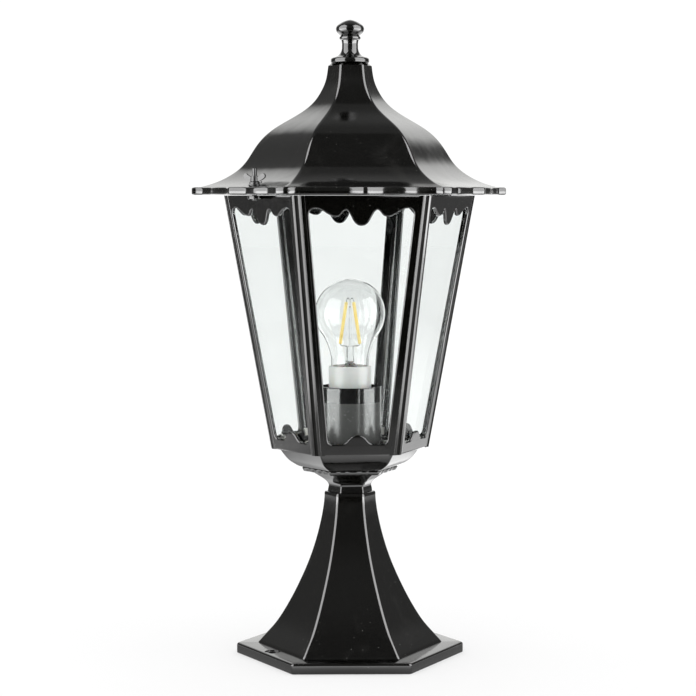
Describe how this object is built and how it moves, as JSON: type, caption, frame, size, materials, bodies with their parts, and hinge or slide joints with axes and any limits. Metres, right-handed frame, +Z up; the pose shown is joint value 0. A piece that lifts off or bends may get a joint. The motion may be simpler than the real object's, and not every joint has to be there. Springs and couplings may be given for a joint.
{
  "type": "pedestal lamp",
  "caption": "Hexagonal lantern with clear panes, bell roof and ball finial on a flared hexagonal pedestal; the roof swings open for changing the bulb.",
  "frame": {"origin": "centre of the foot plate's underside, on the lamp's own axis", "axes": "+Z up along the lamp's axis, -Y towards the side that the picture shows, +X to the right there"},
  "size_m": [0.268, 0.246, 0.5418],
  "materials": {
    "black_paint": "gloss",
    "pane_glass": "polished",
    "bulb_glass": "polished",
    "zinc_steel": "satin",
    "blackened_steel": "gloss",
    "black_plastic": "gloss",
    "porcelain": "gloss",
    "brass": "satin",
    "white_plastic": "satin",
    "black_glass": "gloss",
    "filament_yellow": "matte",
    "support_wire": "polished",
    "brown_insulation": "matte",
    "blue_insulation": "matte",
    "green_insulation": "matte"
  },
  "bodies": {
    "lantern": {"pedestal": "black_paint", "lantern_bowl": "black_paint", "lantern_cage": "black_paint", "glass_pane_front": "pane_glass", "glass_pane_front_right": "pane_glass", "glass_pane_back_right": "pane_glass", "glass_pane_back": "pane_glass", "glass_pane_back_left": "pane_glass", "glass_pane_front_left": "pane_glass", "pane_clips": "zinc_steel", "clip_screws": "zinc_steel", "cage_screws": "zinc_steel", "hinge_pin": "zinc_steel", "threaded_tube": "zinc_steel", "tube_nuts": "zinc_steel", "tube_washers": "zinc_steel", "terminal_strap": "zinc_steel", "block_screw": "zinc_steel", "earth_screw": "zinc_steel", "lampholder_sleeve": "black_plastic", "lampholder_insert": "porcelain", "contact_shell": "brass", "centre_contact": "brass", "terminal_barrels": "brass", "terminal_block": "white_plastic", "wire_live": "brown_insulation", "wire_neutral": "blue_insulation", "wire_earth": "green_insulation"},
    "roof": {"roof": "black_paint", "finial": "black_paint", "finial_washer": "zinc_steel", "finial_screw": "zinc_steel", "lock_washer": "blackened_steel"},
    "lock_screw": {"lock_stud": "blackened_steel", "wing_nut": "blackened_steel", "lock_ring": "zinc_steel"},
    "bulb": {"bulb_glass": "bulb_glass", "bulb_collar": "white_plastic", "bulb_cap": "brass", "bulb_insulator": "black_glass", "bulb_contact": "brass", "bulb_stem": "bulb_glass", "filament_left": "filament_yellow", "filament_right": "filament_yellow", "filament_wires": "support_wire"}
  },
  "joints": [
    {"name": "roof_hinge", "type": "hinge", "parent": "lantern", "child": "roof", "pos_m": [0.0809, 0.05707, 0.388], "axis": [-0.5764, 0.8171, 0], "range_deg": [0, 100]},
    {"name": "lock_screw_turn", "type": "hinge", "parent": "roof", "child": "lock_screw", "pos_m": [-0.07893, -0.06853, 0.402], "axis": [0, 0, 1], "continuous": true},
    {"name": "bulb_turn", "type": "hinge", "parent": "lantern", "child": "bulb", "pos_m": [0, 0, 0.215], "axis": [0, 0, 1], "continuous": true}
  ]
}
